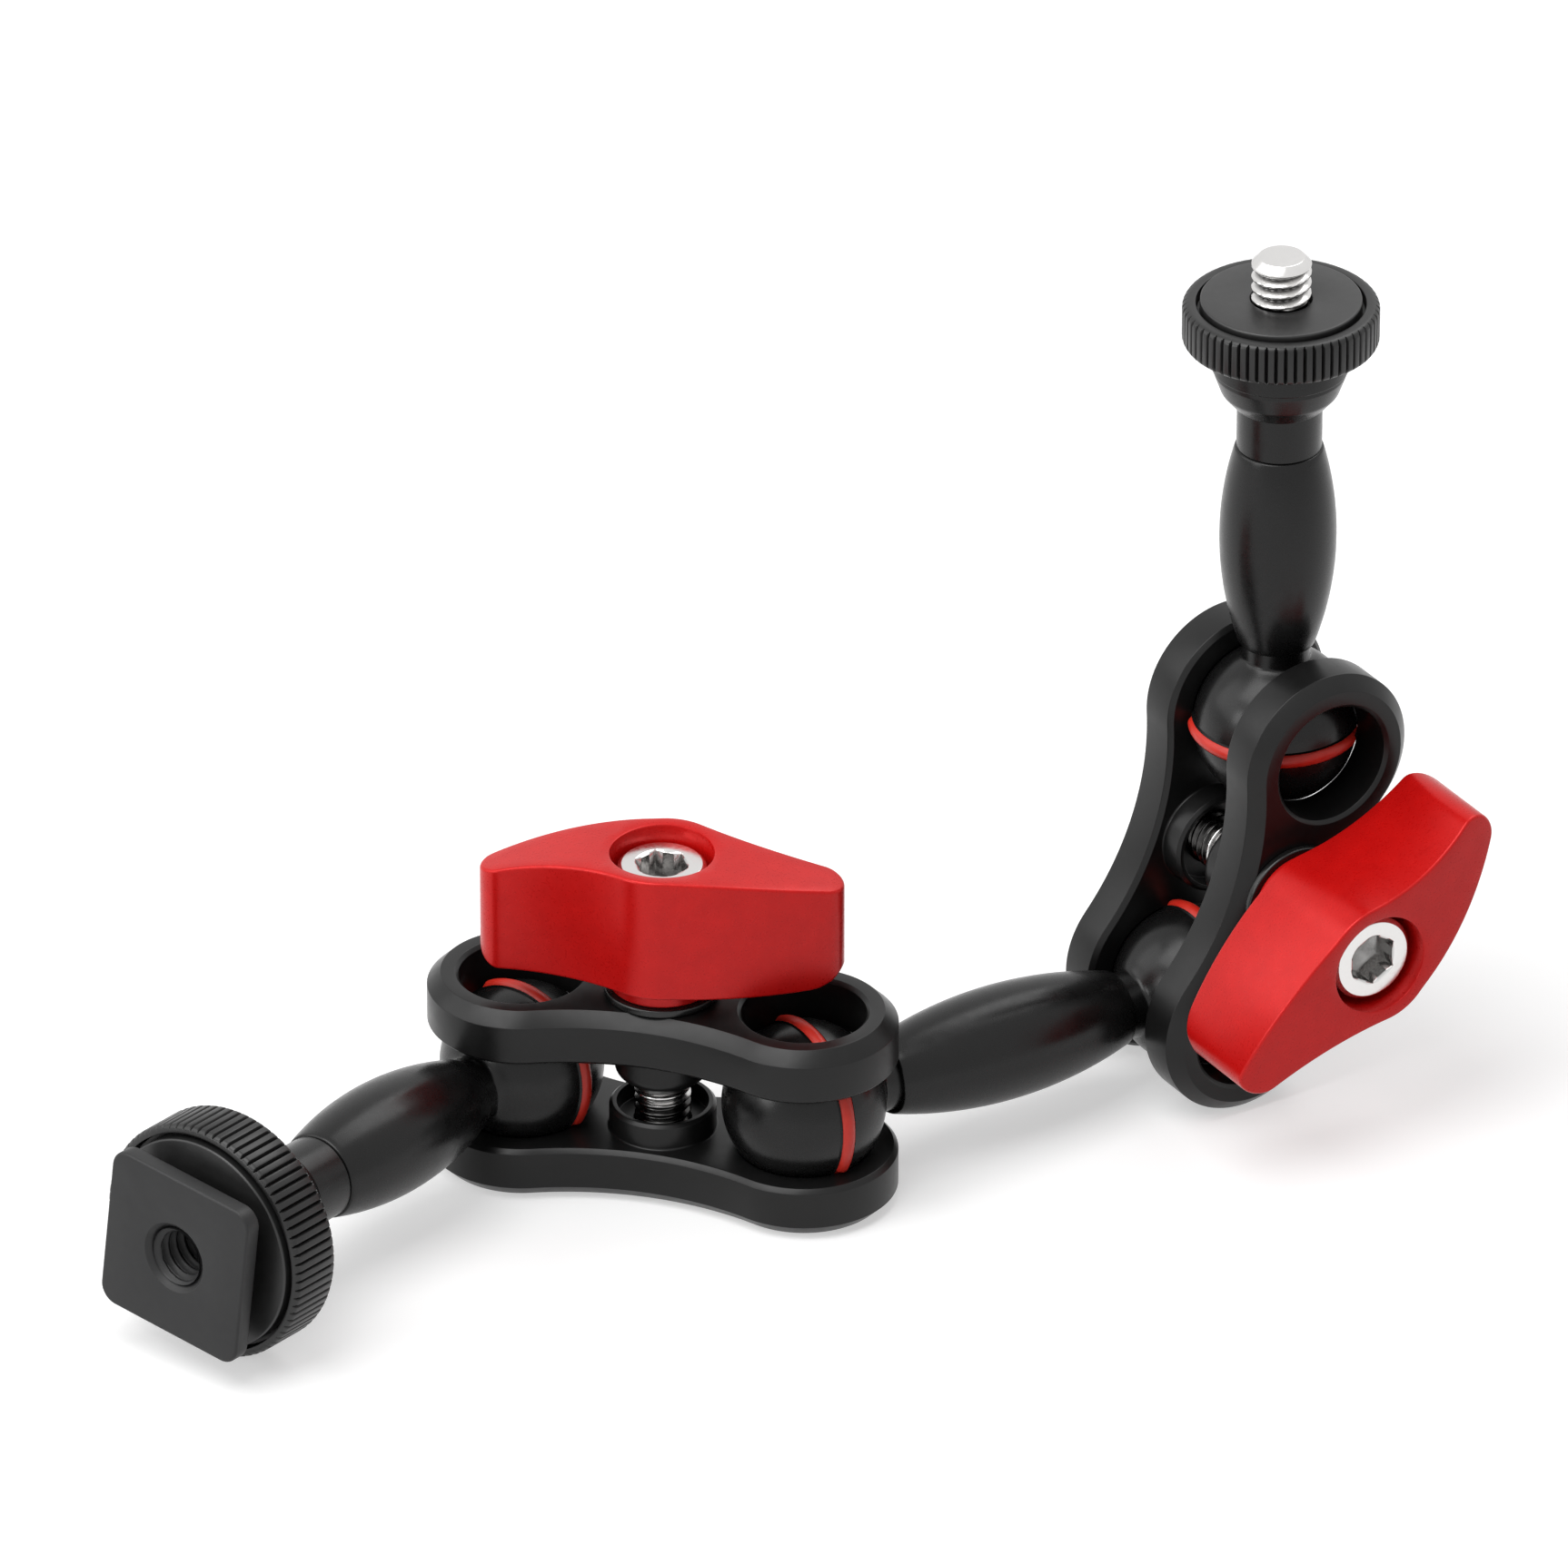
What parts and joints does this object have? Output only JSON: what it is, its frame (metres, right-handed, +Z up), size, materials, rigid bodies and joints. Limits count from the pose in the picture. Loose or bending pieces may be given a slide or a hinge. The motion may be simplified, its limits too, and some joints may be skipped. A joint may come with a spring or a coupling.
{
  "type": "articulating friction arm",
  "caption": "Articulating friction arm with ball joints held in dog-bone clamps under red wing knobs, a hot-shoe foot at one end and a camera screw at the other.",
  "frame": {"origin": "on the lower clamp's screw axis, at the level plane that the arm stands on", "axes": "+X from the shoe arm's ball to the middle arm's ball in the lower clamp, +Z up along the lower clamp's screw"},
  "size_m": [0.1298, 0.1134, 0.0955],
  "materials": {
    "plate_black": "satin black anodised",
    "arm_black": "smooth black anodised",
    "wheel_black": "matt black, knurled",
    "disc_black": "matt black",
    "shoe_black": "matt dark grey",
    "washer_black": "matt black",
    "knob_red": "satin red anodised",
    "ring_red": "soft red",
    "steel": "bright stainless"
  },
  "bodies": {
    "lower_clamp": {"lower_clamp_base_plate": "plate_black"},
    "lower_clamp_top": {"lower_clamp_top_plate": "plate_black"},
    "lower_knob": {"lower_clamp_washer": "washer_black", "lower_clamp_wing_knob": "knob_red", "lower_clamp_screw": "steel"},
    "shoe_ring": {"shoe_arm_rubber_ring": "ring_red"},
    "shoe_arm": {"shoe_arm_ball_stud": "arm_black", "shoe_arm_barrel": "arm_black", "shoe_end_fitting": "arm_black", "shoe_plate": "shoe_black"},
    "shoe_disc": {"shoe_seat_disc": "disc_black"},
    "shoe_wheel": {"shoe_lock_wheel": "wheel_black"},
    "middle_near_ring": {"middle_arm_near_rubber_ring": "ring_red"},
    "middle_arm": {"middle_arm_near_ball_stud": "arm_black", "middle_arm_barrel": "arm_black", "middle_arm_far_ball_stud": "arm_black"},
    "middle_far_ring": {"middle_arm_far_rubber_ring": "ring_red"},
    "upper_clamp": {"upper_clamp_base_plate": "plate_black"},
    "upper_clamp_top": {"upper_clamp_top_plate": "plate_black"},
    "upper_knob": {"upper_clamp_washer": "washer_black", "upper_clamp_wing_knob": "knob_red", "upper_clamp_screw": "steel"},
    "camera_ring": {"camera_arm_rubber_ring": "ring_red"},
    "camera_arm": {"camera_arm_ball_stud": "arm_black", "camera_arm_barrel": "arm_black", "camera_end_fitting": "arm_black", "camera_screw": "steel"},
    "camera_disc": {"camera_seat_disc": "disc_black"},
    "camera_wheel": {"camera_lock_wheel": "wheel_black"}
  },
  "joints": [
    {"name": "lower_knob_turn", "type": "hinge", "parent": "lower_clamp_top", "child": "lower_knob", "pos_m": [0, 0, 0.03], "axis": [0, 0, 1], "range_deg": [0, 330]},
    {"name": "lower_clamp_open", "type": "slide", "parent": "lower_clamp", "child": "lower_clamp_top", "axis": [0, 0, 1], "range_m": [0, 0.00093]},
    {"name": "shoe_arm_swing", "type": "hinge", "parent": "lower_clamp", "child": "shoe_ring", "pos_m": [-0.0155, 0, 0.0112], "axis": [0, 0, 1], "range_deg": [-166, 34]},
    {"name": "shoe_arm_spin", "type": "hinge", "parent": "shoe_ring", "child": "shoe_arm", "pos_m": [-0.0155, 0, 0.0112], "axis": [-0.4, -0.9156, 0.0412], "continuous": true},
    {"name": "shoe_wheel_turn", "type": "hinge", "parent": "shoe_disc", "child": "shoe_wheel", "pos_m": [-0.0351, -0.04486, 0.01322], "axis": [-0.4, -0.9156, 0.0412], "range_deg": [0, 540]},
    {"name": "shoe_disc_slide", "type": "slide", "parent": "shoe_arm", "child": "shoe_disc", "axis": [-0.4, -0.9156, 0.0412], "range_m": [0, 0.0016]},
    {"name": "middle_arm_swing", "type": "hinge", "parent": "lower_clamp", "child": "middle_near_ring", "pos_m": [0.0155, 0, 0.0112], "axis": [0, 0, 1], "range_deg": [-138, 52]},
    {"name": "middle_arm_spin", "type": "hinge", "parent": "middle_near_ring", "child": "middle_arm", "pos_m": [0.0155, 0, 0.0112], "axis": [0.6741, 0.7382, -0.0243], "continuous": true},
    {"name": "upper_clamp_spin", "type": "hinge", "parent": "middle_arm", "child": "middle_far_ring", "pos_m": [0.04873, 0.03639, 0.01], "axis": [0.6741, 0.7382, -0.0243], "continuous": true},
    {"name": "upper_clamp_swing", "type": "hinge", "parent": "middle_far_ring", "child": "upper_clamp", "pos_m": [0.04873, 0.03639, 0.01], "axis": [0.7385, -0.6743, 0], "range_deg": [-172, 27]},
    {"name": "upper_knob_turn", "type": "hinge", "parent": "upper_clamp_top", "child": "upper_knob", "pos_m": [0.06244, 0.03064, 0.02467], "axis": [0.7385, -0.6743, 0], "range_deg": [0, 330]},
    {"name": "upper_clamp_open", "type": "slide", "parent": "upper_clamp", "child": "upper_clamp_top", "axis": [0.7385, -0.6743, 0], "range_m": [0, 0.00093]},
    {"name": "camera_arm_swing", "type": "hinge", "parent": "upper_clamp", "child": "camera_ring", "pos_m": [0.05547, 0.04377, 0.03935], "axis": [-0.7385, 0.6743, 0], "range_deg": [-81, 118]},
    {"name": "camera_arm_spin", "type": "hinge", "parent": "camera_ring", "child": "camera_arm", "pos_m": [0.05547, 0.04377, 0.03935], "axis": [0, 0, 1], "continuous": true},
    {"name": "camera_wheel_turn", "type": "hinge", "parent": "camera_disc", "child": "camera_wheel", "pos_m": [0.05547, 0.04377, 0.08735], "axis": [0, 0, 1], "range_deg": [0, 540]},
    {"name": "camera_disc_slide", "type": "slide", "parent": "camera_arm", "child": "camera_disc", "axis": [0, 0, 1], "range_m": [0, 0.002]}
  ],
  "couplings": [
    {"joint": "lower_clamp_open", "follows": "lower_knob_turn", "m_per_rad": 0.00015915},
    {"joint": "upper_clamp_open", "follows": "upper_knob_turn", "m_per_rad": 0.00015915},
    {"joint": "shoe_disc_slide", "follows": "shoe_wheel_turn", "m_per_rad": 0.00015915},
    {"joint": "camera_disc_slide", "follows": "camera_wheel_turn", "m_per_rad": 0.00020213}
  ]
}
